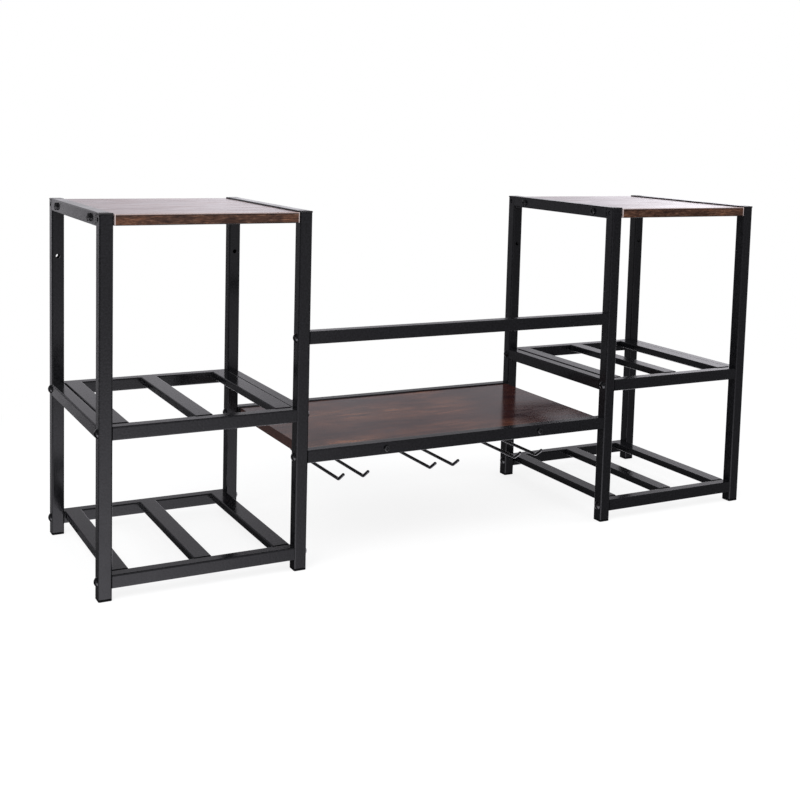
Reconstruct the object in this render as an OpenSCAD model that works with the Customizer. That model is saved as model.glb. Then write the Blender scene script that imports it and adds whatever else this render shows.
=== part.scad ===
// Wall-mounted wine rack: two bottle towers joined by a shelf that carries glass holders.
// The origin is on the wall plane, midway along the line of wall holes. +X runs to the right
// along the wall, +Y into the wall and +Z up, so the rack stands out towards -Y.

/* [Overall] */
// Height from the feet to the top faces of the side frames
rack_height = 355.5; // [320:0.5:440]
// Depth from the wall to the front of the posts
rack_depth = 210.5; // [190:0.5:320]
// Outer width of each bottle tower
tower_width = 205; // [190:1:260]
// Clear width between the two towers
middle_width = 360; // [340:1:480]
// Height of the wall holes above the floor line
wall_hole_height = 296; // [262:1:310]

/* [Square tube] */
// Outside width of the square tube
tube = 12.7; // [11:0.1:14]
// Wall of the square tube
tube_wall = 1.2; // [0.8:0.1:1.6]
// Outer corner radius of the square tube
tube_corner = 1.4; // [0.8:0.1:2]

/* [Bottle shelves] */
// Height of the lower shelf rails' top faces
lower_shelf_top = 24; // [22:0.5:60]
// Height of the upper shelf rails' top faces
upper_shelf_top = 162; // [152:0.5:200]
// Width of the flat tube slats
slat_width = 17.5; // [12:0.5:24]
// Height of the flat tube slats
slat_height = 7.5; // [5:0.5:10]
// Wall of the flat tube slats
slat_wall = 1; // [0.8:0.1:1.4]
// Corner radius of the flat tube slats
slat_corner = 1.2; // [1:0.1:2.4]
// Gap between an outer slat and the side frame beside it
slat_side_gap = 0.6; // [0.2:0.1:2]
// Step from the shelf rails up to the slats' top faces
slat_rise = 0.6; // [0:0.1:1]

/* [Middle section] */
// Height of the middle rails' top faces
middle_shelf_top = 120; // [90:0.5:140]
// Height of the bottle bar's top face
bar_top = 238; // [215:0.5:255]

/* [Boards] */
// Thickness of the wooden boards
board_thick = 10.3; // [9:0.1:11]
// Step from the steel rails down to the boards' top faces
board_drop = 1.2; // [0.5:0.1:2]
// Radius of the boards' eased long edges
board_edge = 0.8; // [0.4:0.1:2]
// Gap at each end of a wooden top
top_end_gap = 1; // [0.3:0.1:3]
// Gap at each end of the middle shelf board
shelf_end_gap = 3; // [0.5:0.5:6]
// Gap between the middle shelf board and its rails
shelf_side_gap = 0.3; // [0.1:0.1:1]

/* [Glass holders] */
// Wire diameter
wire = 3.5; // [2.5:0.1:4]
// Distance from one glass holder to the next
holder_pitch = 109; // [95:1:130]
// Distance between the two wires of a holder, centre to centre
wire_spacing = 28.5; // [26:0.5:36]
// Drop from the middle shelf board to the wires' centre line
wire_drop = 37; // [28:0.5:42]
// Centre-line radius of the wires' bends
wire_bend = 5; // [4.5:0.5:8]
// Distance from the wall to the upright at the back of the wires
wire_back = 32; // [24:1:40]
// Distance from the wall to the start of the turned-up tips
wire_front = 159.5; // [140:0.5:170]
// Upward angle of the tips
tip_angle = 35; // [20:1:60]
// Straight length of the tips
tip_length = 11.5; // [5:0.5:16]
// Thickness of the plate that the wires are welded to
plate_thick = 2; // [1.5:0.1:3]
// Length of the plate, front to back
plate_length = 34; // [30:1:44]
// Margin of the plate beyond the wires
plate_margin = 4; // [3:0.5:8]
// Depth to which the wires are welded into the plate
weld_bite = 0.4; // [0.2:0.1:0.8]

/* [Feet and caps] */
// Thickness of a foot below its post
foot_flange = 2.5; // [1.5:0.1:4]
// Thickness of a cap above its post
cap_flange = 2; // [1:0.1:3]
// Length of the plug that holds a foot or cap in its post
plug_length = 8; // [5:0.5:9]
// Play between a plug and the inside of its tube, each side
plug_play = 0.15; // [0.05:0.05:0.3]
// Chamfer round the lower edge of a foot
foot_chamfer = 0.8; // [0.3:0.1:1.2]
// Chamfer round the upper edge of a cap
cap_chamfer = 0.5; // [0.2:0.1:0.9]

/* [Bolts] */
// Bolt diameter
bolt_d = 5; // [4:0.5:6]
// Bolt length under the head
bolt_length = 25; // [20:1:30]
// Diameter of the button heads
bolt_head_d = 9.5; // [8:0.1:11]
// Height of the button heads
bolt_head_h = 2.75; // [2:0.05:3.5]
// Width across the flats of the hexagon socket
socket_width = 3; // [2:0.5:4]
// Depth of the hexagon socket
socket_depth = 1.6; // [1:0.1:2]
// Clearance of the bolt holes over the bolt diameter
bolt_clearance = 0.5; // [0.2:0.1:1]
// Length of the threaded plug inside a rail's end
insert_length = 15; // [12:0.5:20]

/* [Screws and holes] */
// Diameter of the wood screws in the tops and the middle shelf
screw_d = 4; // [3:0.1:4.5]
// Length of those screws under the head
screw_length = 28; // [20:1:35]
// Diameter of their heads
screw_head_d = 7.6; // [6:0.1:9]
// Height of their pan heads
screw_head_h = 2.4; // [1.5:0.1:3]
// Distance of the top screws from the front and from the wall
top_screw_inset = 36; // [25:1:60]
// Distance of the middle shelf screws from the towers
shelf_screw_inset = 86.5; // [40:0.5:120]
// Diameter of the heads in the middle shelf's front rail
shelf_screw_head_d = 6.4; // [5.5:0.1:9]
// Diameter of the glass holder screws
holder_screw_d = 3; // [2.5:0.1:3.5]
// Length of the glass holder screws under the head
holder_screw_length = 9; // [7:0.5:10]
// Distance between the two screws of a glass holder
holder_screw_pitch = 14; // [10:1:18]
// Diameter of the wall holes
wall_hole_d = 4.5; // [4:0.1:6]
// Diameter of the small holes at the top of the posts' outer sides
vent_hole_d = 5; // [3:0.1:6]

/* [Hidden] */
$fn = 48;

LEFT = -1;
RIGHT = 1;
BLACK = "#2b2b2d";
PLASTIC = "#161617";
ZINC = "#1d1d1f";
WOOD = "#5a3d2c";

// Tower positions, for the right tower; the left one mirrors it
inner_face = middle_width / 2;
outer_face = inner_face + tower_width;
inner_x = inner_face + tube / 2;
outer_x = outer_face - tube / 2;
tower_x = (inner_face + outer_face) / 2;
front_y = -(rack_depth - tube / 2);
rear_y = -tube / 2;
rail_length_y = rack_depth - 2 * tube;

// Heights of the tubes' centre lines
top_rail_z = rack_height - tube / 2;
upper_rail_z = upper_shelf_top - tube / 2;
lower_rail_z = lower_shelf_top - tube / 2;
middle_rail_z = middle_shelf_top - tube / 2;
bar_z = bar_top - tube / 2;

// What slips inside the tube
bore = tube - 2 * tube_wall;
plug_width = bore - 2 * plug_play;
thread_play = 0.05;
screw_play = 0.2;
pilot_play = 0.05;
past = 1;

// Screw positions
top_screw_ys = [-top_screw_inset, -(rack_depth - top_screw_inset)];
shelf_screw_x = inner_face - shelf_screw_inset;
pilot_depth = screw_length - tube;
board_bottom = middle_shelf_top - board_drop - board_thick;
wire_top = plate_thick + wire / 2 - weld_bite;
lap = 0.2;
lap_step = 0.01;
plate_y = -(wire_back + plate_length / 2);
holder_screw_ys = [plate_y - holder_screw_pitch / 2, plate_y + holder_screw_pitch / 2];
holder_xs = [-holder_pitch, 0, holder_pitch];
head_arc = (pow(bolt_head_d / 2, 2) + pow(bolt_head_h, 2)) / (2 * bolt_head_h);
csk_h = (screw_head_d - screw_d) / 2;

// Puts what is measured from the floor line into the frame whose origin is at the wall holes
module from_floor() {
    translate([0, 0, -wall_hole_height])
        children();
}

// Builds on the right as drawn, and on the left as its mirror image
module on_side(side) {
    from_floor()
        mirror([side == LEFT ? 1 : 0, 0, 0])
            children();
}

module round_rect(width, height, radius) {
    union() {
        square([width - 2 * radius, height], center = true);
        square([width, height - 2 * radius], center = true);
        for (x = [-1, 1], y = [-1, 1])
            translate([x * (width / 2 - radius), y * (height / 2 - radius)])
                circle(r = radius);
    }
}

module tube_section(width, height, wall, radius) {
    difference() {
        round_rect(width, height, radius);
        square([width - 2 * wall, height - 2 * wall], center = true);
    }
}

// Extrusions centred on their length along X, Y or Z
module along_x(length) {
    rotate([90, 0, 90])
        linear_extrude(length, center = true)
            children();
}

module along_y(length) {
    rotate([90, 0, 0])
        linear_extrude(length, center = true)
            children();
}

module along_z(length) {
    linear_extrude(length, center = true)
        children();
}

module square_tube() {
    tube_section(tube, tube, tube_wall, tube_corner);
}

module hole_x(diameter, length) {
    rotate([0, 90, 0])
        cylinder(d = diameter, h = length, center = true);
}

module hole_y(diameter, length) {
    rotate([90, 0, 0])
        cylinder(d = diameter, h = length, center = true);
}

// An upright of a side frame. bolts are the heights of the holes across it, outward is the
// side that faces away from the tower, and only rear posts have a wall hole.
module post(x, y, bolts, outward) {
    length = rack_height - foot_flange - cap_flange;
    color(BLACK)
        difference() {
            translate([x, y, foot_flange + length / 2])
                along_z(length)
                    square_tube();
            for (z = bolts)
                translate([x, y, z])
                    hole_x(bolt_d + bolt_clearance, tube + 2 * past);
            translate([x + outward * tube / 2, y, top_rail_z])
                hole_x(vent_hole_d, tube);
            if (y == rear_y)
                translate([x, y, wall_hole_height])
                    hole_y(wall_hole_d, tube + 2 * past);
        }
}

module outer_post(side, y) {
    on_side(side)
        post(outer_x, y, [lower_rail_z, upper_rail_z], 1);
}

module inner_post(side, y) {
    extra = y == front_y ? [middle_rail_z, bar_z] : [middle_rail_z];
    on_side(side)
        post(inner_x, y, concat([lower_rail_z, upper_rail_z], extra), -1);
}

// The rail between the tops of two posts, drilled for the screws into the wooden top
module top_rail(side, x) {
    on_side(side)
        color(BLACK)
            difference() {
                translate([x, -rack_depth / 2, top_rail_z])
                    along_y(rail_length_y)
                        square_tube();
                for (y = top_screw_ys)
                    translate([x, y, top_rail_z])
                        hole_x(screw_d + screw_play, tube + 2 * past);
            }
}

module mid_rail(side, x) {
    on_side(side)
        color(BLACK)
            translate([x, -rack_depth / 2, upper_rail_z])
                along_y(rail_length_y)
                    square_tube();
}

// Front or rear rail of a bottle shelf, from post to post
module shelf_rail(side, y, z) {
    on_side(side)
        color(BLACK)
            translate([tower_x, y, z])
                along_x(tower_width - 2 * tube)
                    square_tube();
}

// Slat of a bottle shelf: at is -1 beside the inner posts, 0 in the middle and 1 beside the outer
module slat(side, at, top) {
    reach = (tower_width - slat_width) / 2 - tube - slat_side_gap;
    on_side(side)
        color(BLACK)
            translate([tower_x + at * reach, -rack_depth / 2, top + slat_rise - slat_height / 2])
                along_y(rail_length_y)
                    tube_section(slat_width, slat_height, slat_wall, slat_corner);
}

module wood_top(side) {
    length = tower_width - 2 * (tube + top_end_gap);
    on_side(side)
        color(WOOD)
            difference() {
                translate([tower_x, -rack_depth / 2, rack_height - board_drop - board_thick / 2])
                    along_x(length)
                        round_rect(rack_depth, board_thick, board_edge);
                for (x = [inner_x, outer_x], y = top_screw_ys)
                    translate([x, y, top_rail_z])
                        hole_x(screw_d + pilot_play, tube + 2 * pilot_depth);
            }
}

module middle_shelf_board() {
    depth = rail_length_y - 2 * shelf_side_gap;
    from_floor()
        color(WOOD)
            difference() {
                translate([0, -rack_depth / 2, board_bottom + board_thick / 2])
                    along_x(middle_width - 2 * shelf_end_gap)
                        round_rect(depth, board_thick, board_edge);
                for (x = [-shelf_screw_x, shelf_screw_x], y = [front_y, rear_y])
                    translate([x, y, middle_rail_z])
                        hole_y(screw_d + pilot_play, tube + 2 * pilot_depth);
                for (x = holder_xs, y = holder_screw_ys)
                    translate([x, y, board_bottom])
                        cylinder(d = holder_screw_d + pilot_play, h = 2 * (holder_screw_length - plate_thick),
                                 center = true);
            }
}

module middle_rail(y) {
    from_floor()
        color(BLACK)
            difference() {
                translate([0, y, middle_rail_z])
                    along_x(middle_width)
                        square_tube();
                for (x = [-shelf_screw_x, shelf_screw_x])
                    translate([x, y, middle_rail_z]) {
                        hole_y(screw_d + screw_play, tube + 2 * past);
                        if (y == rear_y)
                            rotate([90, 0, 0])
                                translate([0, 0, -tube / 2])
                                    cylinder(d1 = screw_head_d + screw_play, d2 = screw_d + screw_play, h = csk_h);
                    }
            }
}

module bottle_bar() {
    from_floor()
        color(BLACK)
            translate([0, front_y, bar_z])
                along_x(middle_width)
                    square_tube();
}

// A straight length that follows a bend is a hair thinner and starts inside the bend, so that the
// two are one solid at any angle
module wire_straight(length, after_bend) {
    start = after_bend ? lap : 0;
    translate([-start, 0, 0])
        rotate([0, 90, 0])
            cylinder(d = after_bend ? wire - 2 * lap_step : wire, h = length + start);
}

// Bends the wire to its left, in the XY plane, from a start at the origin along +X
module wire_elbow(angle) {
    translate([0, wire_bend, 0])
        rotate([0, 0, -90])
            rotate_extrude(angle = angle)
                translate([wire_bend, 0])
                    circle(d = wire);
}

// Follows steps of [straight length, turn to the left]; the last turn is 0 and has a round end
module wire_path(steps, index = 0) {
    length = steps[index][0];
    angle = steps[index][1];
    wire_straight(length, index > 0);
    translate([length, 0, 0])
        if (angle > 0) {
            wire_elbow(angle);
            translate([wire_bend * sin(angle), wire_bend * (1 - cos(angle)), 0])
                rotate([0, 0, angle])
                    wire_path(steps, index + 1);
        } else {
            sphere(d = wire - 2 * lap_step);
        }
}

// One wire, from its end under the plate back to the upright, down, and forward to its tip. It is
// drawn flat, with X as the distance from the wall and Y as the height above the board's underside.
module holder_wire() {
    rotate([90, 0, -90])
        translate([wire_back + plate_length, -wire_top, 0])
            rotate([0, 0, 180])
                wire_path([
                    [plate_length - wire_bend, 90],
                    [wire_drop - wire_top - 2 * wire_bend, 90],
                    [wire_front - wire_back - wire_bend, tip_angle],
                    [tip_length, 0]
                ]);
}

module glass_holder(x) {
    width = wire_spacing + wire + 2 * plate_margin;
    from_floor()
        color(BLACK)
            translate([x, 0, board_bottom]) {
                difference() {
                    translate([0, plate_y, -plate_thick / 2])
                        cube([width, plate_length, plate_thick], center = true);
                    for (y = holder_screw_ys)
                        translate([0, y, 0])
                            cylinder(d = holder_screw_d + screw_play, h = 3 * plate_thick, center = true);
                }
                for (side = [-1, 1])
                    translate([side * wire_spacing / 2, 0, 0])
                        holder_wire();
            }
}

// Runs its children at the foot or head of every post
module at_posts() {
    for (side = [LEFT, RIGHT])
        mirror([side == LEFT ? 1 : 0, 0, 0])
            for (x = [inner_x, outer_x], y = [front_y, rear_y])
                translate([x, y, 0])
                    children();
}

module chamfered_side(flange, chamfer) {
    half = tube / 2;
    polygon([
        [-half + chamfer, 0], [half - chamfer, 0], [half, chamfer],
        [half, flange], [-half, flange], [-half, chamfer]
    ]);
}

// A post's end piece as it stands under the post, with its outer face on z = 0 and its plug above
module end_piece(flange, chamfer) {
    intersection() {
        linear_extrude(flange)
            round_rect(tube, tube, tube_corner);
        rotate([90, 0, 0])
            linear_extrude(tube, center = true)
                chamfered_side(flange, chamfer);
        rotate([90, 0, 90])
            linear_extrude(tube, center = true)
                chamfered_side(flange, chamfer);
    }
    translate([0, 0, flange + plug_length / 2])
        cube([plug_width, plug_width, plug_length], center = true);
}

module feet() {
    from_floor()
        color(PLASTIC)
            at_posts()
                end_piece(foot_flange, foot_chamfer);
}

module post_caps() {
    from_floor()
        color(PLASTIC)
            at_posts()
                translate([0, 0, rack_height])
                    mirror([0, 0, 1])
                        end_piece(cap_flange, cap_chamfer);
}

// Button-head bolt with its head seated on the plane x = 0 and its shank along +X
module bolt() {
    rotate([0, -90, 0])
        difference() {
            union() {
                rotate_extrude()
                    intersection() {
                        translate([0, bolt_head_h - head_arc])
                            circle(r = head_arc);
                        square([bolt_head_d / 2, bolt_head_h]);
                    }
                translate([0, 0, -bolt_length])
                    cylinder(d = bolt_d, h = bolt_length);
            }
            translate([0, 0, bolt_head_h - socket_depth])
                cylinder(d = socket_width / cos(30), h = socket_depth + past, $fn = 6);
        }
}

module shelf_bolts() {
    for (side = [LEFT, RIGHT])
        on_side(side)
            color(ZINC)
                for (y = [front_y, rear_y], z = [lower_rail_z, upper_rail_z]) {
                    translate([inner_face, y, z])
                        bolt();
                    translate([outer_face, y, z])
                        mirror([1, 0, 0])
                            bolt();
                }
}

// The bolts and threaded plugs of the middle rails and the bar, by their place on the inner post
middle_joints = [[front_y, middle_rail_z], [rear_y, middle_rail_z], [front_y, bar_z]];

module middle_bolts() {
    for (side = [LEFT, RIGHT])
        on_side(side)
            color(ZINC)
                for (joint = middle_joints)
                    translate([inner_face + tube, joint[0], joint[1]])
                        mirror([1, 0, 0])
                            bolt();
}

// Threaded plug in a rail's end, from the plane x = 0 along +X
module threaded_plug() {
    difference() {
        translate([0, -plug_width / 2, -plug_width / 2])
            cube([insert_length, plug_width, plug_width]);
        translate([insert_length / 2, 0, 0])
            hole_x(bolt_d + 2 * thread_play, insert_length + 2 * past);
    }
}

module threaded_plugs() {
    for (side = [LEFT, RIGHT])
        on_side(side)
            color("#8a8a86") {
                for (y = [front_y, rear_y], z = [lower_rail_z, upper_rail_z]) {
                    translate([inner_face + tube, y, z])
                        threaded_plug();
                    translate([outer_face - tube, y, z])
                        mirror([1, 0, 0])
                            threaded_plug();
                }
                for (joint = middle_joints)
                    translate([inner_face, joint[0], joint[1]])
                        mirror([1, 0, 0])
                            threaded_plug();
            }
}

// Wood screw shank from z = 0 up to its point
module screw_shank(diameter, length) {
    point = diameter;
    cylinder(d = diameter, h = length - point);
    translate([0, 0, length - point])
        cylinder(d1 = diameter, d2 = diameter * 0.2, h = point);
}

module cross_slot(head_d, depth) {
    for (turn = [0, 90])
        rotate([0, 0, turn])
            cube([head_d * 0.55, head_d * 0.16, 2 * depth], center = true);
}

// Pan-head screw with its head seated on the plane z = 0 and its point upwards
module pan_screw(diameter, length, head_d, head_h) {
    edge = head_h * 0.45;
    screw_shank(diameter, length);
    translate([0, 0, -head_h])
        difference() {
            rotate_extrude()
                polygon(concat(
                    [[0, head_h], [0, 0]],
                    [for (a = [15:15:90]) [head_d / 2 - edge * (1 - sin(a)), edge * (1 - cos(a))]],
                    [[head_d / 2, head_h]]
                ));
            cross_slot(head_d, head_h / 2);
        }
}

// Countersunk screw with its head's face on the plane z = 0 and its point upwards
module countersunk_screw(diameter, length, head_d) {
    difference() {
        union() {
            cylinder(d1 = head_d, d2 = diameter, h = (head_d - diameter) / 2);
            screw_shank(diameter, length);
        }
        cross_slot(head_d, (head_d - diameter) / 4);
    }
}

module top_screws() {
    for (side = [LEFT, RIGHT])
        on_side(side)
            color(ZINC)
                for (y = top_screw_ys) {
                    translate([inner_face, y, top_rail_z])
                        rotate([0, 90, 0])
                            pan_screw(screw_d, screw_length, screw_head_d, screw_head_h);
                    translate([outer_face, y, top_rail_z])
                        rotate([0, -90, 0])
                            pan_screw(screw_d, screw_length, screw_head_d, screw_head_h);
                }
}

module middle_front_screws() {
    from_floor()
        color(ZINC)
            for (x = [-shelf_screw_x, shelf_screw_x])
                translate([x, -rack_depth, middle_rail_z])
                    rotate([-90, 0, 0])
                        pan_screw(screw_d, screw_length, shelf_screw_head_d, shelf_screw_head_d * 0.3);
}

// Countersunk, so that nothing stands out towards the wall
module middle_rear_screws() {
    from_floor()
        color(ZINC)
            for (x = [-shelf_screw_x, shelf_screw_x])
                translate([x, 0, middle_rail_z])
                    rotate([90, 0, 0])
                        countersunk_screw(screw_d, screw_length, screw_head_d);
}

module holder_screws() {
    from_floor()
        color(ZINC)
            for (x = holder_xs, y = holder_screw_ys)
                translate([x, y, board_bottom - plate_thick])
                    pan_screw(holder_screw_d, holder_screw_length, 2 * holder_screw_d, holder_screw_d * 0.6);
}

outer_post(LEFT, front_y);  // left_outer_front_post
outer_post(LEFT, rear_y);  // left_outer_rear_post
inner_post(LEFT, front_y);  // left_inner_front_post
inner_post(LEFT, rear_y);  // left_inner_rear_post
inner_post(RIGHT, front_y);  // right_inner_front_post
inner_post(RIGHT, rear_y);  // right_inner_rear_post
outer_post(RIGHT, front_y);  // right_outer_front_post
outer_post(RIGHT, rear_y);  // right_outer_rear_post
top_rail(LEFT, outer_x);  // left_outer_top_rail
top_rail(LEFT, inner_x);  // left_inner_top_rail
top_rail(RIGHT, inner_x);  // right_inner_top_rail
top_rail(RIGHT, outer_x);  // right_outer_top_rail
mid_rail(LEFT, outer_x);  // left_outer_mid_rail
mid_rail(LEFT, inner_x);  // left_inner_mid_rail
mid_rail(RIGHT, inner_x);  // right_inner_mid_rail
mid_rail(RIGHT, outer_x);  // right_outer_mid_rail
shelf_rail(LEFT, front_y, upper_rail_z);  // left_upper_front_rail
shelf_rail(LEFT, rear_y, upper_rail_z);  // left_upper_rear_rail
shelf_rail(LEFT, front_y, lower_rail_z);  // left_lower_front_rail
shelf_rail(LEFT, rear_y, lower_rail_z);  // left_lower_rear_rail
shelf_rail(RIGHT, front_y, upper_rail_z);  // right_upper_front_rail
shelf_rail(RIGHT, rear_y, upper_rail_z);  // right_upper_rear_rail
shelf_rail(RIGHT, front_y, lower_rail_z);  // right_lower_front_rail
shelf_rail(RIGHT, rear_y, lower_rail_z);  // right_lower_rear_rail
slat(LEFT, 1, upper_shelf_top);  // left_upper_slat_outer
slat(LEFT, 0, upper_shelf_top);  // left_upper_slat_middle
slat(LEFT, -1, upper_shelf_top);  // left_upper_slat_inner
slat(LEFT, 1, lower_shelf_top);  // left_lower_slat_outer
slat(LEFT, 0, lower_shelf_top);  // left_lower_slat_middle
slat(LEFT, -1, lower_shelf_top);  // left_lower_slat_inner
slat(RIGHT, -1, upper_shelf_top);  // right_upper_slat_inner
slat(RIGHT, 0, upper_shelf_top);  // right_upper_slat_middle
slat(RIGHT, 1, upper_shelf_top);  // right_upper_slat_outer
slat(RIGHT, -1, lower_shelf_top);  // right_lower_slat_inner
slat(RIGHT, 0, lower_shelf_top);  // right_lower_slat_middle
slat(RIGHT, 1, lower_shelf_top);  // right_lower_slat_outer
wood_top(LEFT);  // left_wood_top
wood_top(RIGHT);  // right_wood_top
middle_shelf_board();
middle_rail(front_y);  // middle_front_rail
middle_rail(rear_y);  // middle_rear_rail
bottle_bar();
glass_holder(holder_xs[0]);  // left_glass_holder
glass_holder(holder_xs[1]);  // middle_glass_holder
glass_holder(holder_xs[2]);  // right_glass_holder
feet();
post_caps();
shelf_bolts();
middle_bolts();
threaded_plugs();
top_screws();
middle_front_screws();
middle_rear_screws();
holder_screws();
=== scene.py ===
import math

import bmesh
import bpy
from mathutils import Matrix, Vector


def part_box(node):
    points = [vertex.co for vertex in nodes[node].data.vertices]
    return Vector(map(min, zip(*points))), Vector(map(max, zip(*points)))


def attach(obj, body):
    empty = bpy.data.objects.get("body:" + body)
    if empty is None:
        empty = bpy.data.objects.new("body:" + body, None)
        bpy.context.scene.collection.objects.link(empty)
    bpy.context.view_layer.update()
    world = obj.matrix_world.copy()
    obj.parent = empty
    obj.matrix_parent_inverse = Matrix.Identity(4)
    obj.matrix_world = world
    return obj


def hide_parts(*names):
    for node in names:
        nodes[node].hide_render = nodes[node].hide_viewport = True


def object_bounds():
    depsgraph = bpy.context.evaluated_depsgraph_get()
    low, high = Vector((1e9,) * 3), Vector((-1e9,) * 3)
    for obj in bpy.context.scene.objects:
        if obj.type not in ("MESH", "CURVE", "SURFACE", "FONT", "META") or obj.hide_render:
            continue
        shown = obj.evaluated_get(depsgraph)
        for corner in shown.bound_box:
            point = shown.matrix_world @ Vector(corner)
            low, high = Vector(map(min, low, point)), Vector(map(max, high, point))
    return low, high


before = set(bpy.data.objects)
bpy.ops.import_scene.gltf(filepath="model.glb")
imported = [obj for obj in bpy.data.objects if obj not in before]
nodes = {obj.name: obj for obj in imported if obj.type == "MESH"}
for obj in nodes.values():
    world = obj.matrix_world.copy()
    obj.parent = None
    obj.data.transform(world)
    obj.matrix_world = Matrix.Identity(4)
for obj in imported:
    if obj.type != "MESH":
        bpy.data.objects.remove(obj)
cad_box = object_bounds()
scene = bpy.context.scene

# Camera at the photograph's place

IMAGE = 800
FOCAL_PIXELS = 1203.257
SENSOR_WIDTH = 36
SHIFT_UP = -0.2
NEAREST, FARTHEST = 0.05, 60
EYE = (-0.645704, -1.268588, 0.142811)
YAW, PITCH, ROLL = 0.487624, -0.094391, 0.02619


def make_camera():
    """Camera at EYE that looks to the wall, turned by YAW, then tilted by PITCH, then rolled by ROLL."""
    forward = Vector((math.sin(YAW) * math.cos(PITCH), math.cos(YAW) * math.cos(PITCH), math.sin(PITCH)))
    level = Vector((math.cos(YAW), -math.sin(YAW), 0))
    upright = level.cross(forward)
    right = level * math.cos(ROLL) + upright * math.sin(ROLL)
    up = upright * math.cos(ROLL) - level * math.sin(ROLL)
    data = bpy.data.cameras.new("studio_camera")
    data.sensor_width = SENSOR_WIDTH
    data.lens = FOCAL_PIXELS / IMAGE * data.sensor_width
    data.shift_y = SHIFT_UP
    data.clip_start, data.clip_end = NEAREST, FARTHEST
    camera = bpy.data.objects.new("studio_camera", data)
    turn = Matrix((right, up, -forward)).transposed().to_4x4()
    camera.matrix_world = Matrix.Translation(EYE) @ turn
    scene.collection.objects.link(camera)
    scene.camera = camera


make_camera()

# Short ways to build node trees

WHITE, BLACK = (1, 1, 1), (0, 0, 0)


class Shades:
    """A node tree, with short ways to add its nodes and join them."""

    def __init__(self, tree):
        self.tree = tree
        tree.nodes.clear()

    def node(self, kind, **settings):
        made = self.tree.nodes.new(kind)
        for name, value in settings.items():
            setattr(made, name, value)
        return made

    def put(self, target, value):
        """Joins another node's output to the socket, or sets the socket to a plain value."""
        if isinstance(value, bpy.types.NodeSocket):
            self.tree.links.new(value, target)
        else:
            target.default_value = value

    def split(self, vector):
        made = self.node("ShaderNodeSeparateXYZ")
        self.put(made.inputs[0], vector)
        return made.outputs

    def math(self, operation, a, b=0.0):
        made = self.node("ShaderNodeMath", operation=operation)
        self.put(made.inputs[0], a)
        self.put(made.inputs[1], b)
        return made.outputs[0]

    def times(self, a, b):
        return self.math("MULTIPLY", a, b)

    def plus(self, a, b):
        return self.math("ADD", a, b)

    def rest_of(self, share):
        return self.math("SUBTRACT", 1.0, share)

    def spread(self, value, low, high, to_low=0.0, to_high=1.0, smooth=False):
        """Carries the range from low to high over to that from to_low to to_high, and stops at its ends."""
        made = self.node("ShaderNodeMapRange", interpolation_type="SMOOTHSTEP" if smooth else "LINEAR")
        for name, wanted in (("Value", value), ("From Min", low), ("From Max", high),
                             ("To Min", to_low), ("To Max", to_high)):
            self.put(made.inputs[name], wanted)
        return made.outputs[0]

    def ramp(self, value, stops, interpolation="LINEAR"):
        """Colour for the value, from stops of (where, colour)."""
        made = self.node("ShaderNodeValToRGB")
        made.color_ramp.interpolation = interpolation
        while len(made.color_ramp.elements) < len(stops):
            made.color_ramp.elements.new(0.5)
        for stop, (where, colour) in zip(made.color_ramp.elements, stops):
            stop.position = where
            stop.color = (*colour, 1)
        self.put(made.inputs["Fac"], value)
        return made.outputs["Color"]

    def profile(self, value, stops):
        """Brightness along one coordinate of a direction, from stops of (coordinate, brightness)."""
        greys = [((where + 1) / 2, (brightness, brightness, brightness)) for where, brightness in stops]
        return self.ramp(self.spread(value, -1, 1), greys, "EASE")

    def patch(self, fades, *coordinates):
        """Brightness of a patch of the room: the product of its fades, one along each coordinate."""
        first, *others = (self.spread(coordinate, *fade, smooth=True)
                          for coordinate, fade in zip(coordinates, fades))
        for other in others:
            first = self.times(first, other)
        return first

    def choose(self, factor, a, b):
        """Shader a where the factor is 0, and shader b where it is 1."""
        made = self.node("ShaderNodeMixShader")
        for socket, value in zip(made.inputs, (factor, a, b)):
            self.put(socket, value)
        return made.outputs[0]

    def glow(self, kind, strength, colour=WHITE):
        made = self.node(kind)
        self.put(made.inputs["Color"], (*colour, 1))
        self.put(made.inputs["Strength"], strength)
        return made.outputs[0]


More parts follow.
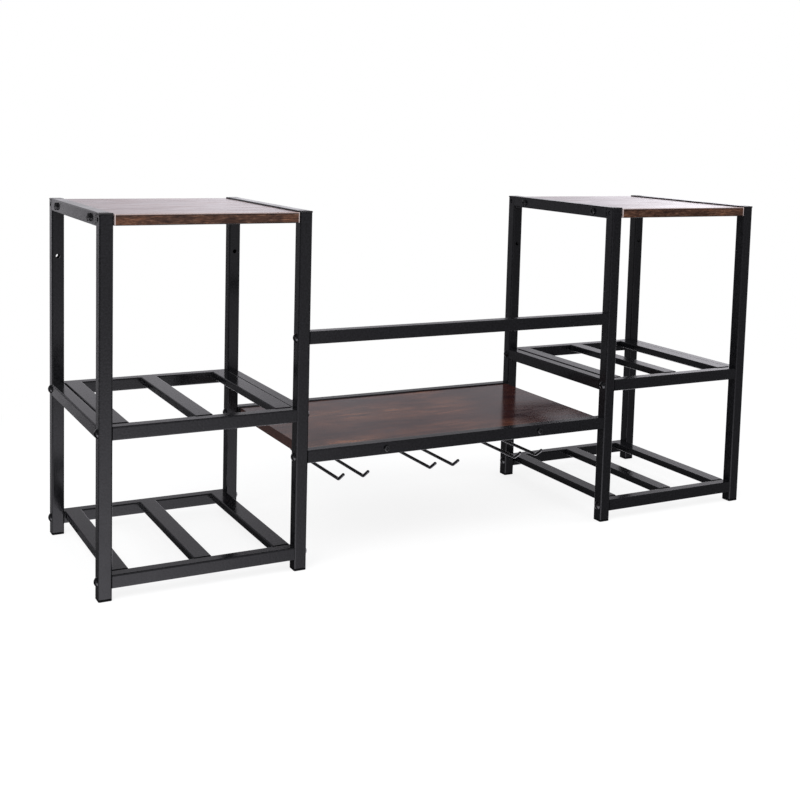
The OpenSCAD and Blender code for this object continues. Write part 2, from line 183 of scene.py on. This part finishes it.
class Finish(Shades):
    """A material with one shader, and short ways to give it what the finishes here need."""

    def __init__(self, name, colour, roughness, **sockets):
        self.material = bpy.data.materials.new(name)
        self.material.use_nodes = True
        super().__init__(self.material.node_tree)
        self.shader = self.node("ShaderNodeBsdfPrincipled")
        out = self.node("ShaderNodeOutputMaterial")
        self.put(out.inputs["Surface"], self.shader.outputs[0])
        self.put(self.shader.inputs["Base Color"], (*colour, 1))
        self.put(self.shader.inputs["Roughness"], roughness)
        for socket, value in sockets.items():
            self.put(self.shader.inputs[socket.replace("_", " ")], value)
        self.place = self.node("ShaderNodeTexCoord").outputs["Object"]

    def noise(self, where, scale, detail=3, rough=0.5, distortion=0):
        made = self.node("ShaderNodeTexNoise")
        for name, value in (("Vector", where), ("Scale", scale), ("Detail", detail), ("Roughness", rough),
                            ("Distortion", distortion)):
            self.put(made.inputs[name], value)
        return made.outputs["Fac"]

    def streaks(self, along, across, scale, detail, rough, distortion=0, offset=(0, 0, 0)):
        """Noise that is drawn out along X, as grain is. It is finer the larger along and across are."""
        drawn = self.node("ShaderNodeMapping")
        self.put(drawn.inputs["Scale"], (along, across, across))
        self.put(drawn.inputs["Location"], offset)
        self.put(drawn.inputs["Vector"], self.place)
        return self.noise(drawn.outputs[0], scale, detail, rough, distortion)

    def mix(self, factor, a, b, blend="MIX"):
        made = self.node("ShaderNodeMix", data_type="RGBA", blend_type=blend)
        self.put(made.inputs["Factor"], factor)
        colours = [socket for socket in made.inputs if socket.type == "RGBA"]
        for socket, value in zip(colours, (a, b)):
            self.put(socket, (*value, 1) if isinstance(value, tuple) else value)
        return next(socket for socket in made.outputs if socket.type == "RGBA")

    def shade_by(self, tone, value, stops):
        """The tone multiplied by the colour that the stops give for the value."""
        return self.mix(1.0, tone, self.ramp(value, stops), "MULTIPLY")

    def colour(self, value):
        self.put(self.shader.inputs["Base Color"], value)

    def roughness(self, value):
        self.put(self.shader.inputs["Roughness"], value)

    def bump(self, height, depth):
        made = self.node("ShaderNodeBump")
        self.put(made.inputs["Distance"], depth)
        self.put(made.inputs["Height"], height)
        self.put(self.shader.inputs["Normal"], made.outputs[0])


# Studio floor

FLOOR_WIDTH, FLOOR_DEPTH = 3.2, 1.5
FLOOR_FORWARD = 0.2
FLOOR_COLOUR = (0.22, 0.22, 0.222)
FLOOR_LIFT = 0.85
FADE_ASIDE, FADE_AWAY = (0.95, 1.5), (0.45, 0.72)


def make_floor():
    """White table top, which fades into the white room towards its edges."""
    bpy.ops.object.select_all(action="DESELECT")
    bpy.ops.mesh.primitive_plane_add(size=1, location=(0, 0, cad_box[0].z))
    floor = bpy.context.object
    floor.name = "studio_floor"
    bpy.ops.transform.resize(value=(FLOOR_WIDTH, FLOOR_DEPTH, 1))
    bpy.ops.transform.translate(value=(0, -FLOOR_FORWARD, 0))
    bpy.ops.object.transform_apply(location=True, rotation=False, scale=True)
    paint = bpy.data.materials.new("studio_floor_paint")
    paint.use_nodes = True
    shades = Shades(paint.node_tree)
    ray = shades.node("ShaderNodeLightPath").outputs
    place = shades.split(shades.node("ShaderNodeTexCoord").outputs["Object"])
    matt = shades.node("ShaderNodeBsdfDiffuse")
    shades.put(matt.inputs["Color"], (*FLOOR_COLOUR, 1))
    lift = shades.glow("ShaderNodeEmission", shades.times(ray["Is Camera Ray"], FLOOR_LIFT))
    lit = shades.node("ShaderNodeAddShader")
    shades.put(lit.inputs[0], matt.outputs[0])
    shades.put(lit.inputs[1], lift)
    clear = shades.node("ShaderNodeBsdfTransparent")
    top = shades.choose(ray["Is Glossy Ray"], lit.outputs[0], clear.outputs[0])
    aside = shades.math("ABSOLUTE", place["X"])
    away = shades.math("ABSOLUTE", shades.plus(place["Y"], FLOOR_FORWARD))
    far = shades.math("MAXIMUM", shades.spread(aside, *FADE_ASIDE, smooth=True),
                      shades.spread(away, *FADE_AWAY, smooth=True))
    faded = shades.times(far, ray["Is Camera Ray"])
    out = shades.node("ShaderNodeOutputMaterial")
    shades.put(out.inputs["Surface"], shades.choose(faded, top, shades.glow("ShaderNodeEmission", 1.0)))
    floor.data.materials.append(paint)


make_floor()

# Studio room

ROOM_COLOUR, ROOM_STRENGTH = (0.97, 0.985, 1), 0.62
GLOSS_COLOUR = (0.995, 0.97, 1.03)
BEHIND_STRENGTH = 1.4

# What gloss mirrors of the room, by a direction's X or Z, as stops of (coordinate, brightness)
BEHIND_BY_X = [(-1.0, 0.25), (-0.93, 0.05), (-0.6, 0.22), (-0.4, 0.2), (-0.33, 0.12), (-0.26, 0.02),
               (-0.24, 0.06), (-0.222, 0.5), (-0.205, 0.74), (-0.17, 0.64), (-0.1, 0.56), (0.22, 0.57),
               (0.36, 0.82), (0.47, 0.52), (0.6, 0.64), (0.68, 0.96)]
BEHIND_BY_Z = [(-0.36, 0.1), (-0.27, 0.34), (-0.2, 0.54), (-0.13, 0.6), (-0.06, 0.85), (0.02, 1.0),
               (0.09, 0.96), (0.21, 0.46), (0.32, 0.33), (0.6, 0.1)]
STEEP_BY_X = [(0.2, 1.3), (0.27, 1.2), (0.32, 0.98), (0.37, 0.74), (0.4, 0.8), (0.43, 1.02), (0.46, 1.0)]
IN_FRONT_BY_X = [(-1.0, 0.4), (-0.9, 0.05), (-0.4, 0.2), (0.0, 0.3), (0.24, 0.46), (0.4, 0.4), (0.5, 0.24),
                 (0.57, 0.16), (0.7, 0.2)]
STEEP_FROM, STEEP_TO = 0.12, 0.2
BEHIND_FROM, BEHIND_TO = -0.15, 0.15

# Its patches, each with fades of (from, to, brightness at from, brightness at to) along X, Z and X again
RIGHT_PATCH = ((0.54, 0.68, 0.0, 0.36), (0.1, 0.36, 1.0, 0.0))
UNDER_PATCH = ((0.0, 0.1, 0.0, 0.8), (-0.24, -0.34, 0.0, 1.0))
LOW_PATCH = ((0.2, 0.44, 1.45, 0.05), (-0.15, -0.36, 0.0, 1.0), (0.44, 0.6, 1.0, 0.0))


def make_room():
    """White room. What gloss mirrors of it is bright near the horizon, and darker above, below and aside."""
    world = bpy.data.worlds.new("studio")
    scene.world = world
    world.use_nodes = True
    shades = Shades(world.node_tree)
    ray = shades.node("ShaderNodeLightPath").outputs
    direction = shades.split(shades.node("ShaderNodeTexCoord").outputs["Generated"])
    x, y, z = (direction[name] for name in "XYZ")

    behind = shades.times(shades.profile(x, BEHIND_BY_X), shades.profile(z, BEHIND_BY_Z))
    steep = shades.spread(z, STEEP_FROM, STEEP_TO, smooth=True)
    behind = shades.times(behind, shades.plus(shades.rest_of(steep),
                                              shades.times(steep, shades.profile(x, STEEP_BY_X))))
    for fades in (RIGHT_PATCH, UNDER_PATCH):
        behind = shades.plus(behind, shades.patch(fades, x, z))
    in_front = shades.plus(shades.profile(x, IN_FRONT_BY_X), shades.patch(LOW_PATCH, x, z, x))
    is_behind = shades.spread(y, BEHIND_FROM, BEHIND_TO, smooth=True)
    mirrored = shades.plus(shades.times(behind, shades.times(is_behind, BEHIND_STRENGTH)),
                           shades.times(in_front, shades.rest_of(is_behind)))

    around = shades.glow("ShaderNodeBackground", ROOM_STRENGTH, ROOM_COLOUR)
    reflected = shades.glow("ShaderNodeBackground", mirrored, GLOSS_COLOUR)
    by_gloss = shades.choose(ray["Is Glossy Ray"], around, reflected)
    seen = shades.glow("ShaderNodeBackground", 1.0)
    out = shades.node("ShaderNodeOutputWorld")
    shades.put(out.inputs["Surface"], shades.choose(ray["Is Camera Ray"], by_gloss, seen))


make_room()

# Studio lamps

LAMP_AIM = (0, -0.1, -0.1)


def make_softbox(name, place, side, watts):
    """Square softbox that lights the rack, and that no gloss mirrors."""
    data = bpy.data.lights.new(name, "AREA")
    data.shape = "RECTANGLE"
    data.size = data.size_y = side
    data.energy = watts
    lamp = bpy.data.objects.new(name, data)
    lamp.location = place
    lamp.rotation_euler = (Vector(LAMP_AIM) - Vector(place)).to_track_quat("-Z", "Y").to_euler()
    lamp.visible_glossy = False
    scene.collection.objects.link(lamp)


make_softbox("softbox_left", (-1.7, -1.3, 1.9), side=1.4, watts=34)
make_softbox("softbox_right", (1.9, -0.9, 1.5), side=1.2, watts=12)

scene.view_settings.view_transform = "Standard"

# Black coats and plated metal

MOST_NOISE = (0.3, 0.7)
COAT_TINT = (0.945, 0.95, 0.97, 1.0)
BLUER = 1.2
DARK_SPECK, LIGHT_SPECK = (0.3, 0.3, 0.4), (2.1, 2.1, 2.5)
CLOUD_SCALE, SPECKLE_SCALE = 38, 480
SMOOTHER, ROUGHER = 0.03, 0.04


def black_coat(name, tone, roughness, peel, **sockets):
    """Satin black coat, finely speckled, with its orange peel and slightly uneven gloss."""
    coat = Finish(name, (tone, tone, tone * BLUER), roughness,
                  **{"IOR": 1.5, "Specular_Tint": COAT_TINT, **sockets})
    cloud = coat.noise(coat.place, CLOUD_SCALE, detail=4, rough=0.6)
    speckle = coat.noise(coat.place, SPECKLE_SCALE, detail=3, rough=0.6)
    dark, light = (tuple(tone * share for share in speck) for speck in (DARK_SPECK, LIGHT_SPECK))
    coat.colour(coat.ramp(speckle, [(0.36, dark), (0.64, light)]))
    coat.roughness(coat.spread(cloud, *MOST_NOISE, roughness - SMOOTHER, roughness + ROUGHER))
    coat.bump(speckle, peel)
    return coat.material


# Heights below the top where the rims' painted shade and gloss give way to the sides' painted highlight and
# frosting
LIT_FROSTED_BELOW, SHADED_POLISHED_ABOVE = 0.0013, 0.0011
CAP_GRAIN_SCALE, CAP_GRAIN_DEPTH = 900, 0.00002
# Colours: painted highlight of the sides, and painted shade of the rims and tops
PAINTED_LIT_SIDES, PAINTED_SHADED_TOP = (0.045, 0.045, 0.048), (0.002, 0.002, 0.0022)
FROSTED_ROUGHNESS, POLISHED_ROUGHNESS = 0.45, 0.16


def cap_plastic_painted_light(name):
    """Black plastic of the post caps: frosted low on the sides, and glossy on the rims and tops. Its colour
    is painted light: lighter low on the sides as a painted highlight, and near black on the rims and tops as
    painted shade.
    """
    cap = Finish(name, (0.04, 0.04, 0.043), 0.3, IOR=1.5)
    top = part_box("post_caps")[1].z
    height = cap.split(cap.place)["Z"]
    polished_shaded_top = cap.spread(height, top - LIT_FROSTED_BELOW, top - SHADED_POLISHED_ABOVE)
    grain = cap.noise(cap.place, CAP_GRAIN_SCALE, detail=2)
    # Painted highlight low on the sides and painted shade on the rims and tops; the roughness next is the
    # plastic's own frosting and gloss
    cap.colour(cap.mix(polished_shaded_top, PAINTED_LIT_SIDES, PAINTED_SHADED_TOP))
    cap.roughness(cap.spread(polished_shaded_top, 0.0, 1.0, FROSTED_ROUGHNESS, POLISHED_ROUGHNESS))
    cap.bump(grain, CAP_GRAIN_DEPTH)
    return cap.material


SPANGLE_SCALE, SPANGLE_DEPTH = 420, 0.00001
DARK_ZINC, LIGHT_ZINC = (0.34, 0.34, 0.32), (0.5, 0.5, 0.48)
ZINC_SMOOTHEST, ZINC_ROUGHEST = 0.28, 0.42


def zinc_plating(name):
    """Bright zinc of the threaded plugs, with its faint spangle."""
    zinc = Finish(name, (0.42, 0.42, 0.4), 0.34, Metallic=1.0)
    spangle = zinc.noise(zinc.place, SPANGLE_SCALE, detail=3, rough=0.6)
    zinc.colour(zinc.ramp(spangle, [(0.35, DARK_ZINC), (0.65, LIGHT_ZINC)]))
    zinc.roughness(zinc.spread(spangle, *MOST_NOISE, ZINC_SMOOTHEST, ZINC_ROUGHEST))
    zinc.bump(spangle, SPANGLE_DEPTH)
    return zinc.material


# Laminate of the boards

SHEEN = {"Sheen_Weight": 0.09, "Sheen_Roughness": 0.3, "Sheen_Tint": (1.0, 0.3, 0.5, 1.0)}
SMOOTHEST, ROUGHEST = 0.1, 0.19
PORE_DEPTH = 0.00003

# Colours of the printed faces: the planks, the painted shade towards the right, and by what the noise of
# their figure and fibres multiplies them
PLANKS = [(0.36, (0.056, 0.02, 0.011)), (0.5, (0.11, 0.042, 0.022)), (0.64, (0.165, 0.074, 0.038))]
GREY_PLANK, GREY_FROM, GREY_TO, GREY_SHARE = (0.042, 0.025, 0.026), 0.5, 0.66, 0.75
# Painted shade: the faces darken towards this colour from X = 0.05 to 0.1 m, standing in for the right
# tower's shade and dark reflection on the boards
PAINTED_SHADE, PAINTED_SHADE_FROM, PAINTED_SHADE_TO = (0.3, 0.26, 0.22), 0.05, 0.1
FIGURE = [(0.34, (0.45, 0.42, 0.4)), (0.5, (0.95, 0.93, 0.92)), (0.66, (1.6, 1.55, 1.4))]
FIBRES = [(0.34, (0.4, 0.37, 0.35)), (0.5, (0.95, 0.93, 0.92)), (0.66, (1.4, 1.37, 1.32))]
PORE_FROM, PORE_TO, PORE_TONE = 0.56, 0.68, 0.4

# Colours of the edge bands: flecks, and what multiplies them, by noise and by the height on the band
FLECKS = [(0.28, (0.014, 0.006, 0.004)), (0.44, (0.07, 0.03, 0.018)), (0.56, (0.15, 0.068, 0.041)),
          (0.72, (0.33, 0.19, 0.13))]
CLOUDS = [(0.34, (0.5, 0.47, 0.46)), (0.5, (0.95, 0.95, 0.95)), (0.66, (1.5, 1.4, 1.25))]
RIMS = [(0.04, (0.2, 0.17, 0.16)), (0.12, WHITE), (0.8, WHITE), (0.87, (0.3, 0.27, 0.26))]
# Painted highlight: a pale line along the arris near the top of each edge band, between these heights on the
# board
PAINTED_ARRIS_HIGHLIGHT, HIGHLIGHT_FROM, HIGHLIGHT_TO = (0.45, 0.34, 0.32), 0.915, 0.93
FLAT_FROM, FLAT_TO = 0.97, 0.99
CUT_FULL, CUT_FADED = 0.0006, 0.0009


def end_distances(*names):
    """Least and greatest distance of these boards' ends from the middle plane; one board has no inner end."""
    corners = [abs(corner.x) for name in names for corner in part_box(name)]
    return (min(corners) if len(names) > 1 else -1.0), max(corners)


def rustic_laminate(name, board_nodes, cut):
    """Printed board laminate: dark brown planks, grain along X, a soft shine, and a darker edge band.

    The cut ends have their own colour, and a pale line, a painted highlight, runs along the arris above each
    edge band.
    """
    board = Finish(name, (0.05, 0.022, 0.015), 0.13, IOR=1.44, **SHEEN)
    planks = board.streaks(2.6, 6.5, 2.0, detail=4, rough=0.55, distortion=0.5, offset=(0.35, 0.1, 0))
    greys = board.streaks(3.4, 11.0, 2.2, detail=4, rough=0.6, distortion=0.8, offset=(4.1, 0, 0))
    figure = board.streaks(6.5, 26.0, 2.6, detail=5, rough=0.62, distortion=0.9, offset=(1.7, 0, 0))
    fibres = board.streaks(9.0, 95.0, 2.6, detail=6, rough=0.66, distortion=0.8)
    pores = board.streaks(22.0, 330.0, 4.0, detail=3, rough=0.6)
    place = board.split(board.place)

    face = board.ramp(planks, PLANKS)
    grey = board.spread(greys, GREY_FROM, GREY_TO, 0.0, GREY_SHARE, smooth=True)
    face = board.mix(grey, face, GREY_PLANK)
    # Painted shade, darker to the right of X = 0.05 m, where the right tower shades the boards and darkens
    # their reflection
    darker = board.spread(place["X"], PAINTED_SHADE_FROM, PAINTED_SHADE_TO, smooth=True)
    face = board.shade_by(face, darker, [(0, WHITE), (1, PAINTED_SHADE)])
    face = board.shade_by(face, figure, FIGURE)
    face = board.shade_by(face, fibres, FIBRES)
    pits = board.spread(pores, PORE_FROM, PORE_TO, 1.0, PORE_TONE)
    face = board.shade_by(face, pits, [(0, BLACK), (1, WHITE)])

    flecks = board.streaks(46.0, 340.0, 2.6, detail=5, rough=0.7, distortion=0.4)
    clouds = board.streaks(16.0, 70.0, 2.0, detail=3, rough=0.5, distortion=0.4, offset=(0.7, 0, 0))
    band = board.shade_by(board.ramp(flecks, FLECKS), clouds, CLOUDS)
    low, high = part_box(board_nodes[0])
    height = board.spread(place["Z"], low.z, high.z)
    band = board.shade_by(band, height, RIMS)
    # Painted highlight along the arris near the top of the band
    band = board.mix(board.spread(height, HIGHLIGHT_FROM, HIGHLIGHT_TO), band, PAINTED_ARRIS_HIGHLIGHT)

    facing = board.split(board.node("ShaderNodeNewGeometry").outputs["True Normal"])
    is_edge = board.spread(board.math("ABSOLUTE", facing["Z"]), FLAT_FROM, FLAT_TO, 1.0, 0.0)
    inner, outer = end_distances(*board_nodes)
    along = board.math("ABSOLUTE", place["X"])
    is_end = board.math("MAXIMUM", board.spread(along, outer - CUT_FADED, outer - CUT_FULL),
                        board.spread(along, inner + CUT_FULL, inner + CUT_FADED, 1.0, 0.0))
    tone = board.mix(is_edge, face, band)
    board.colour(board.mix(board.times(is_end, is_edge), tone, cut))
    board.roughness(board.spread(figure, *MOST_NOISE, SMOOTHEST, ROUGHEST))
    board.bump(board.times(pores, fibres), PORE_DEPTH)
    return board.material


# Finish of each CAD node

PALE_CUT, DARK_CUT = (0.78, 0.65, 0.63), (0.1, 0.045, 0.036)

steel = black_coat("satin_black_powder_coat", tone=0.0055, roughness=0.16, peel=0.00005)
wire_steel = black_coat("wire_powder_coat", tone=0.004, roughness=0.2, peel=0.000006, IOR=2.0)
plastic = black_coat("black_moulded_plastic", tone=0.0025, roughness=0.5, peel=0.00004,
                     Specular_IOR_Level=0.12)
screw_black = black_coat("blackened_screws", tone=0.002, roughness=0.26, peel=0.00001, IOR=1.7)
cap_plastic = cap_plastic_painted_light("cap_plastic_painted_light")
bolt_black = black_coat("blackened_bolts", tone=0.003, roughness=0.2, peel=0.00001, IOR=1.8)
bright_zinc = zinc_plating("bright_zinc_plating")
top_laminate = rustic_laminate("rustic_brown_top_laminate", ("left_wood_top", "right_wood_top"), PALE_CUT)
shelf_laminate = rustic_laminate("rustic_brown_shelf_laminate", ("middle_shelf_board",), DARK_CUT)

FINISHES = {
    "feet": plastic, "post_caps": plastic,
    "shelf_bolts": bolt_black, "middle_bolts": bolt_black, "threaded_plugs": bright_zinc,
    "top_screws": screw_black, "middle_front_screws": screw_black, "middle_rear_screws": screw_black,
    "holder_screws": screw_black,
    "left_wood_top": top_laminate, "right_wood_top": top_laminate, "middle_shelf_board": shelf_laminate,
    "left_glass_holder": wire_steel, "middle_glass_holder": wire_steel, "right_glass_holder": wire_steel,
}
for name, piece in nodes.items():
    piece.data.materials.clear()
    piece.data.materials.append(FINISHES.get(name, steel))

# Short ways to model pieces

ORIGIN = (0, 0, 0)
FACING = 0.9


def editing(piece):
    """Starts edit mode, in which whole faces are selected, and gives the mesh that it edits."""
    bpy.ops.object.mode_set(mode="EDIT")
    bpy.ops.mesh.select_mode(type="FACE")
    return bmesh.from_edit_mesh(piece.data)


def pick_facing(mesh, up):
    """Selects only the faces that look up, where up is 1, or down, where it is -1, in edit mode."""
    for part in (*mesh.faces, *mesh.edges, *mesh.verts):
        part.select_set(False)
    for face in mesh.faces:
        if face.normal.z * up > FACING:
            face.select_set(True)


def place_in_mesh():
    """Puts the selected piece's place, turn and size into its mesh."""
    bpy.ops.object.transform_apply(location=True, rotation=True, scale=True)


def turn_about_origin(angle, axis):
    """Turns the selected piece about an axis through the origin, with its turn in its mesh."""
    bpy.ops.transform.rotate(value=angle, orient_axis=axis, center_override=ORIGIN)
    place_in_mesh()


def smooth_below(degrees):
    """Leaves edit mode, and shades the piece smooth where its faces meet at less than the angle."""
    bpy.ops.object.mode_set(mode="OBJECT")
    bpy.ops.object.shade_smooth_by_angle(angle=math.radians(degrees))


def copy_at(piece, name, place):
    """Copy with a mesh of its own, whose place is in the mesh."""
    bpy.ops.object.select_all(action="DESELECT")
    piece.select_set(True)
    bpy.context.view_layer.objects.active = piece
    bpy.ops.object.duplicate(linked=False)
    copy = bpy.context.object
    copy.name = name
    bpy.ops.transform.translate(value=place)
    place_in_mesh()
    return copy


def finish_piece(piece, material):
    """Gives the piece its only material and its body."""
    piece.data.materials.clear()
    piece.data.materials.append(material)
    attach(piece, "root")


# Plastic feet and caps

TUBE = 0.0127
TUBE_CORNER, CORNER_FACETS = 0.0014, 5
SEAM = 0.0006
RIM_STEPS = 4
DISH_EDGE, DISH_FLOOR = 0.82, 0.94
PLUG = 0.0100
RIBS = 3
RIB_LENGTH, RIB_SLOPE, RIB_NECK = 0.0009, 0.0003, 0.88
TIP_LENGTH, TIP_WIDTH = 0.0007, 0.84
FOOT = {"thick": 0.0025, "rim": 0.0006, "dish": 0.0004}
CAP = {"thick": 0.002, "rim": 0.0008, "dish": 0.0001}


def start_block(name, size, place):
    """Plain block, from which a piece is modelled."""
    bpy.ops.object.select_all(action="DESELECT")
    bpy.ops.mesh.primitive_cube_add(size=1, location=place)
    block = bpy.context.object
    block.name = name
    bpy.ops.transform.resize(value=size)
    place_in_mesh()
    return block


def shape_ring(lift, width):
    """Next ring of an extrusion: moves the selected faces up by lift and scales them to width."""
    bpy.ops.mesh.extrude_region_move(TRANSFORM_OT_translate={"value": (0, 0, lift)})
    if width != 1.0:
        bpy.ops.transform.resize(value=(width, width, 1))


def mould_end_piece(name, thick, rim, dish):
    """End piece as it stands under a post: its outer face on z = 0, its ribbed plug above.

    rim is the radius of its outer edge, and dish how far the outer face is hollowed inside.
    """
    piece = start_block(name, (TUBE, TUBE, thick - rim - SEAM), (0, 0, (thick + rim - SEAM) / 2))
    mesh = editing(piece)
    bpy.ops.mesh.select_all(action="DESELECT")
    bpy.ops.mesh.select_mode(type="EDGE")
    # Rounds the upright edges of a foot; those of a cap are too short for this test and stay square
    for edge in mesh.edges:
        edge.select_set(abs(edge.verts[0].co.z - edge.verts[1].co.z) > (thick - rim) / 2)
    bpy.ops.mesh.bevel(offset=TUBE_CORNER, segments=CORNER_FACETS, affect="EDGES")

    pick_facing(editing(piece), -1)
    for step in range(RIM_STEPS):
        before, after = (step * math.pi / 2 / RIM_STEPS, (step + 1) * math.pi / 2 / RIM_STEPS)
        bpy.ops.mesh.inset(thickness=rim * (math.cos(before) - math.cos(after)),
                           depth=rim * (math.sin(after) - math.sin(before)))
    shape_ring(0, DISH_EDGE)
    shape_ring(dish, DISH_FLOOR)

    pick_facing(editing(piece), 1)
    bpy.ops.mesh.inset(thickness=SEAM, depth=SEAM)
    shape_ring(0, PLUG / (TUBE - 2 * SEAM))
    for _ in range(RIBS):
        shape_ring(RIB_LENGTH, 1.0)
        shape_ring(RIB_SLOPE, RIB_NECK)
        shape_ring(RIB_LENGTH, 1.0)
        shape_ring(RIB_SLOPE, 1 / RIB_NECK)
    shape_ring(TIP_LENGTH, TIP_WIDTH)
    smooth_below(35)
    return piece


def fit_end_pieces():
    """A foot in the lower end of each post, and a cap, upside down, in its upper end."""
    floor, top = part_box("feet")[0].z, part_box("post_caps")[1].z
    foot = mould_end_piece("foot_pattern", **FOOT)
    cap = mould_end_piece("cap_pattern", **CAP)
    turn_about_origin(math.pi, "X")
    for post in [name for name in nodes if name.endswith("_post")]:
        low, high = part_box(post)
        middle = (low + high) / 2
        where = post.removesuffix("_post")
        for pattern, kind, z, node, material in ((foot, "foot", floor, "feet", plastic),
                                                 (cap, "cap", top, "post_caps", cap_plastic)):
            piece = copy_at(pattern, f"{where}_{kind}", (middle.x, middle.y, z))
            finish_piece(piece, material)
            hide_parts(node)
    for pattern in (foot, cap):
        bpy.data.objects.remove(pattern)


fit_end_pieces()

# Welds

BEAD_RADIUS, BEAD_FACETS = 0.0017, 8
END_SQUEEZE, VALLEY_SQUEEZE = 0.55, 0.82
BEAD_INWARD, BEAD_BELOW = 0.0003, 0.0002
BEAD_SIZES = {"slat": (0.0135, 6), "rail": (0.0085, 4)}


def lay_bead(name, length, ripples):
    """Straight weld bead along X, rippled as a hand-fed weld is."""
    bpy.ops.object.select_all(action="DESELECT")
    bpy.ops.mesh.primitive_cylinder_add(vertices=BEAD_FACETS, radius=BEAD_RADIUS, depth=length,
                                        location=ORIGIN)
    bead = bpy.context.object
    bead.name = name
    turn_about_origin(math.pi / 2, "Y")
    editing(bead)
    step = length / (2 * ripples)
    for ring in range(1, 2 * ripples):
        bpy.ops.mesh.select_all(action="SELECT")
        bpy.ops.mesh.bisect(plane_co=(ring * step - length / 2, 0, 0), plane_no=(1, 0, 0))
    mesh = bmesh.from_edit_mesh(bead.data)
    for vertex in mesh.verts:
        ring = round((vertex.co.x + length / 2) / step)
        squeeze = END_SQUEEZE if ring in (0, 2 * ripples) else (1.0 if ring % 2 else VALLEY_SQUEEZE)
        vertex.co.y *= squeeze
        vertex.co.z *= squeeze
    bmesh.update_edit_mesh(bead.data)
    smooth_below(50)
    return bead


def weld_places():
    """Where the welds run, all along X: below the slats' ends, and below the side rails' ends."""
    for name in nodes:
        kind = "slat" if "_slat_" in name else "rail"
        if kind == "slat" or name.endswith(("_mid_rail", "_top_rail")):
            low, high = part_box(name)
            for y in (low.y + BEAD_INWARD, high.y - BEAD_INWARD):
                yield name, kind, ((low.x + high.x) / 2, y, low.z - BEAD_BELOW)


def run_welds():
    """Copies the bead patterns to all their places, and joins them into one piece."""
    patterns = {kind: lay_bead(f"{kind}_bead_pattern", *size) for kind, size in BEAD_SIZES.items()}
    beads = []
    for name, kind, place in weld_places():
        beads.append(copy_at(patterns[kind], f"{name}_bead_{len(beads)}", place))
    bpy.ops.object.select_all(action="DESELECT")
    for bead in beads:
        bead.select_set(True)
    bpy.context.view_layer.objects.active = beads[0]
    bpy.ops.object.join()
    beads[0].name = "weld_beads"
    finish_piece(beads[0], steel)
    for pattern in patterns.values():
        bpy.data.objects.remove(pattern)


run_welds()
